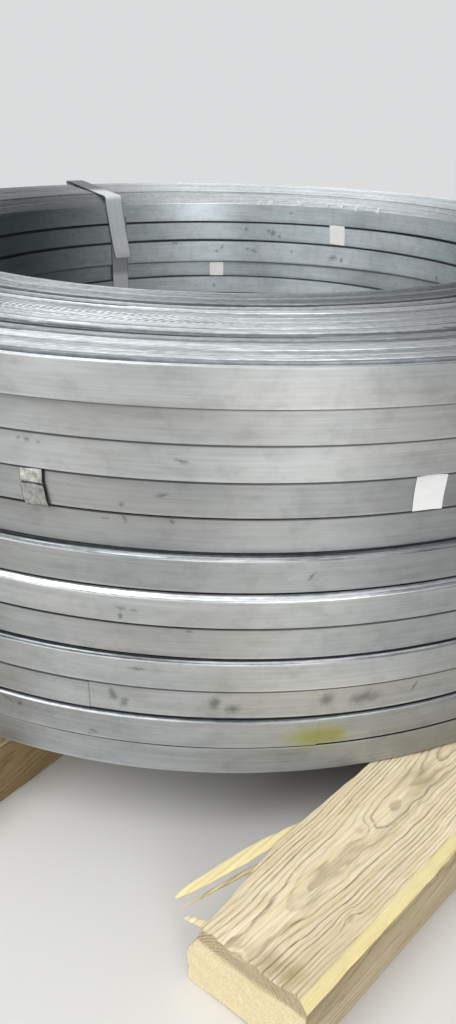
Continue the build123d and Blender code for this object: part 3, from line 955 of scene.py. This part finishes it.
def timber(number, across, along, skew, end_slope, age, newness):
    """Squared timber: its five-sided section, its corners eased, is carried along its length, each face
    pushed in and out by small waves as the saw left it, and closed at both ends by the same section drawn
    inwards."""
    seed, half, long = number, timber_width / 2, timber_length
    outline, sides, is_corner, weather_and_shade, newly_cut = timber_section(age, newness)
    tangent = np.roll(outline, -1, 0) - np.roll(outline, 1, 0)
    normal = np.stack([tangent[:, 1], -tangent[:, 0]], -1)
    normal = normal / np.linalg.norm(normal, axis=1)[:, None]
    stations = np.linspace(-long / 2 + 1.0, long / 2 - 1.0, 401 if number == 1 else 201)
    s, y = np.meshgrid(run_of(outline), stations, indexing="xy")
    push = 0.25 * waves(seed, 14, s / 14, y / 34) + 0.14 * waves(seed + 1, 14, s / 4, y / 5) \
        + 0.08 * np.sin(y / 2.6 + 0.4 * waves(seed + 2, 6, s / 20, y / 60)) - 0.5
    chip = np.clip(waves(seed + 3, 12, y / 9, s / 60) - 0.7, 0, 2) * 1.1
    push = np.minimum(push - (0.3 + chip) * is_corner[None, :], -0.05)
    # The sawn corner is a little wider or narrower as it goes
    drift = np.abs(1.2 * waves(seed + 5, 8, y / 30) * (sides == 2)[None, :]) * 0.5
    x = outline[None, :, 0] + normal[None, :, 0] * push - drift
    z = np.clip(outline[None, :, 1] + normal[None, :, 1] * push - drift, 0.05, timber_height - 0.05)
    # The upper left edge of the first timber is worn away towards its near end
    worn_off = (9.0 if number == 1 else 1.0) * eased((-330 - y) / 70) * eased((z - 22) / 28) * (x < 0)
    x = x + worn_off * np.clip(-x / half, 0, 1) ** 4
    z = z - 0.25 * worn_off * np.clip(-x / half, 0, 1) ** 6
    caps = []
    for sign, at in ((-1, 0), (1, -1)):
        ring_x = x[at][None, :] * end_rings[:, None]
        ring_z = timber_height / 2 + (z[at][None, :] - timber_height / 2) * end_rings[:, None]
        depth = 0.35 * waves(seed + 7 + sign, 10, ring_x / 5, ring_z / 5) - 0.2
        caps.append((ring_x, stations[at] + sign * np.minimum(0.3 + depth, 0.9), ring_z))
    near, far = caps
    x, y, z = (np.concatenate([first[::-1], body, last]) for first, body, last in zip(near, (x, y, z), far))
    # The near end is sawn askew and frayed at its upper edge
    fray = 1.2 * np.clip(waves(seed + 11, 9, x / 2.2), 0, 2) * (z > 49) * (y < -396)
    cut = np.where(y < 0, end_slope * (x + half) - 4.0 * (end_slope > 0.1), end_slope * (x - half))
    placed = y + cut * np.clip((np.abs(y) - 330) / 70, 0, 1) + fray
    placed = np.clip(placed, -long / 2 - 12, long / 2 - 0.5)
    turn = np.radians(skew)
    points = np.stack([across + x * np.cos(turn) - placed * np.sin(turn),
                       along + x * np.sin(turn) + placed * np.cos(turn), z], -1)
    is_end = np.zeros((len(x), 1), bool)
    is_end[:len(end_rings)] = is_end[-len(end_rings):] = True
    wear_and_shade = np.clip(weather_and_shade[None, :] + 0.12 * waves(seed + 9, 8, x / 20, y / 60, z / 20), 0, 0.95)
    wear_and_shade = np.where(is_end, 0.03 + 0.5 * eased((z - 37) / 2), wear_and_shade)
    # Dirt lies on the middle of the top face and thickest near the end; the torn part of an end is
    # below zero
    dirt = 0.34 + 0.18 * np.exp(-((x + 2) / 9) ** 2) + 0.16 * waves(seed + 13, 9, x / 8, y / 30)
    for spot_x, spot_y, wide, tall, amount in dirt_spots:
        dirt = dirt + amount * np.exp(-((x - spot_x) / wide) ** 2 - ((y - spot_y) / tall) ** 2)
    dirt = np.where(is_end | (z < 48), 0.30, dirt)
    dirt = np.where(is_end & (z < 39), -1.0, dirt)
    fresh = np.where(is_end, 0.30 * newness * eased((40 - z) / 3), newly_cut[None, :])
    mesh = surface("timber_%d" % number, points, [softwood], ["timber_bearer_%d" % number],
                   tone=wear_and_shade, crease=40.0).data
    hold(mesh, "inside", np.stack([x, y, z], -1) / 1000 + (0.0, seed * 1.3, 0.0), "FLOAT_VECTOR", "vector")
    hold(mesh, "fresh", fresh)
    hold(mesh, "dirt", dirt)
    hold(mesh, "from_pith", pith_distance(x, y, z, seed))


# Across, along, skew, slope of the near end, age and newness of each timber
timber(1, 369.0, 55.0, 0.0, 0.165, 0.0, 1.0)
timber(2, 92.5, -55.0, 7.0, 0.02, 0.5, 0.0)
timber(3, -195.0, 0.0, -2.0, -0.03, 0.2, 0.3)


def rounded(share):
    """Share of a round section's half width, made squarer."""
    return np.sign(share) * np.abs(share) ** 0.6


def sliver(name, places, widths, thickness, seed, newness):
    """Torn sliver of wood: a flat section with a wavy outline, carried along a bent path and thinning to
    its tip."""
    places = np.array(places, float)
    t = np.linspace(0, 1, 41)
    at = np.linspace(0, 1, len(places))
    path = np.stack([np.interp(t, at, places[:, k]) for k in range(3)], -1)
    path = path + 0.12 * np.stack([waves(seed + k, 6, t * 14) for k in range(3)], -1) * (1, 1, 0.5)
    width = np.interp(t, np.linspace(0, 1, len(widths)), widths) * (1 + 0.05 * waves(seed + 4, 7, t * 22))
    side = np.cross(np.gradient(path, axis=0), (0, 0, 1.0))
    side = side / np.linalg.norm(side, axis=1)[:, None]
    around = np.linspace(0, 2 * np.pi, 16, endpoint=False)
    rise = rounded(np.sin(around)) * thickness / 2 * np.minimum(width / 2.0, 1)[:, None]
    aside = rounded(np.cos(around))[None, :, None] * width[:, None, None] / 2
    points = path[:, None, :] + side[:, None, :] * aside
    points[:, :, 2] += rise
    mesh = surface(name, points, [softwood], tone=np.full(rise.shape, 0.05), crease=50.0).data
    hold(mesh, "fresh", np.full(rise.shape, newness))
    hold(mesh, "dirt", np.full(rise.shape, 0.3))
    hold(mesh, "inside", points / 1000, "FLOAT_VECTOR", "vector")
    hold(mesh, "from_pith", points[:, :, 0] * 0.5)


sliver("timber_1_sliver_wide",
       ((337.0, -258.0, 48.2), (333.4, -276.0, 48.2), (330.4, -290.0, 48.0), (326.0, -313.8, 48.0),
        (322.5, -335.7, 48.0), (320.9, -344.0, 47.6)),
       (3.0, 6.5, 8.2, 7.6, 5.2, 1.6), 1.4, 61, 0.8)
sliver("timber_1_sliver_thin", ((337.5, -286.0, 43.0), (330.0, -315.0, 42.0), (323.6, -343.0, 41.0)),
       (3.0, 2.4, 0.8), 1.2, 71, 0.4)
sliver("timber_1_splinter", ((346.0, -341.5, 47.4), (336.4, -345.0, 46.4), (329.9, -346.6, 44.6)),
       (4.5, 3.4, 1.0), 1.4, 81, 0.25)


# Studio
def studio_floor():
    """Pale matt floor in one sheet, which fades into the pale room with distance."""
    mesh = bpy.data.meshes.new("studio_floor")
    reach = 30.0
    mesh.from_pydata([(-reach, -reach, 0), (reach, -reach, 0), (reach, reach, 0), (-reach, reach, 0)], [],
                     [(0, 1, 2, 3)])
    floor = bpy.data.objects.new("studio_floor", mesh)
    bpy.context.scene.collection.objects.link(floor)
    finish, tree, shader = started("matt_studio_floor")
    fill(tree, shader, {"Base Color": "#d9d8d5", "Roughness": 0.9})
    place = add(tree, "TexCoord", out=3)
    away = add(tree, "VectorMath", place, operation="LENGTH", out=1)
    faded = add(tree, "MapRange", away, 0.9, 3.2, **smooth)
    clear = add(tree, "BsdfTransparent")
    blended = add(tree, "MixShader", faded, shader.outputs[0], clear)
    fill(tree, tree.nodes["Material Output"], {"Surface": blended})
    mesh.materials.append(finish)


def room():
    """World that shows pale to the camera. In gloss the room is bright behind the stack and in front of it,
    and dim to the right, as in an open shed."""
    world = bpy.data.worlds.new("studio")
    bpy.context.scene.world = world
    world.use_nodes = True
    tree = world.node_tree
    toward = add(tree, "TexCoord", out=0)
    level = add(tree, "VectorMath", toward, (1.0, 1.0, 0.0), operation="MULTIPLY")
    bearing = add(tree, "VectorMath", level, operation="NORMALIZE")
    axis, right_hand, left_hand, doorway = (
        add(tree, "VectorMath", bearing, direction, operation="DOT_PRODUCT", out=1)
        for direction in ((-0.82, 0.57, 0.0), (0.42, 0.91, 0.0), (-0.97, 0.24, 0.0), (-0.574, -0.819, 0.0)))
    both_ways = add(tree, "Math", axis, axis, operation="MULTIPLY")
    lit = add(tree, "MapRange", both_ways, 0.0, 1.0, 0.42, 0.68)
    dim, duller, brighter = (
        add(tree, "MapRange", side, start, end, before, beyond, **smooth)
        for side, start, end, before, beyond in (
            (right_hand, 0.50, 0.70, 1.0, 0.15), (left_hand, 0.88, 1.0, 1.0, 0.55),
            (doorway, 0.92, 0.985, 0.0, 1.25)))
    sided = add(tree, "Math", dim, duller, operation="MULTIPLY")
    opened = add(tree, "Math", lit, brighter, operation="ADD")
    shown = add(tree, "Math", opened, sided, operation="MULTIPLY")
    # The light path's outputs: 0 is the camera's rays and 3 those of gloss
    in_gloss = add(tree, "LightPath", out=3)
    to_camera = add(tree, "LightPath", out=0)
    glossed = add(tree, "Mix", in_gloss, {2: 0.42, 3: shown})
    strength = add(tree, "Mix", to_camera, {2: glossed, 3: 0.80})
    fill(tree, tree.nodes["Background"], {"Color": "#f2f3f4", "Strength": strength})


def lamps():
    """Three soft square lamps, each turned to the middle of the stack."""
    up = np.array([0.0, 0.0, 1.0])
    middle = Vector((0, 0, 0.2))
    for name, place, size, power in (
            ("front_left_softbox", -view_heading * 1.7 - view_right * 1.9 + up * 2.4, 1.8, 38.0),
            ("front_right_softbox", -view_heading * 2.3 + view_right * 0.6 + up * 1.0, 1.0, 15.0),
            ("overhead_softbox", -view_heading * 0.3 - view_right * 0.6 + up * 3.0, 2.4, 44.0)):
        lamp = bpy.data.lights.new(name, "AREA")
        lamp.shape = "SQUARE"
        lamp.size = size
        lamp.energy = power
        made = bpy.data.objects.new(name, lamp)
        bpy.context.scene.collection.objects.link(made)
        made.location = place
        made.rotation_mode = "QUATERNION"
        made.rotation_quaternion = (Vector(place) - middle).to_track_quat("Z", "Y")


def camera():
    """Camera fitted to the edges of the layers: place in metres, level direction, pitch, roll and lens."""
    place = (0.5179, -0.5075, 0.4109)
    pitch, roll = np.radians(28.37), np.radians(-1.36)
    focal_pixels, picture_height, sensor = 773.4, 1024, 36.0
    forward = view_heading * np.cos(pitch) + np.array([0, 0, -np.sin(pitch)])
    upward = np.cross(view_right, forward)
    side = view_right * np.cos(roll) - upward * np.sin(roll)
    top = view_right * np.sin(roll) + upward * np.cos(roll)
    data = bpy.data.cameras.new("camera")
    data.sensor_width = sensor
    data.lens = focal_pixels * sensor / picture_height
    data.clip_start = 0.01
    made = bpy.data.objects.new("camera", data)
    bpy.context.scene.collection.objects.link(made)
    columns = np.eye(4)
    columns[:3, 0], columns[:3, 1], columns[:3, 2], columns[:3, 3] = side, top, -forward, place
    made.matrix_world = Matrix(columns.tolist())
    bpy.context.scene.camera = made


studio_floor()
room()
lamps()
camera()
bpy.context.scene.view_settings.view_transform = "Standard"
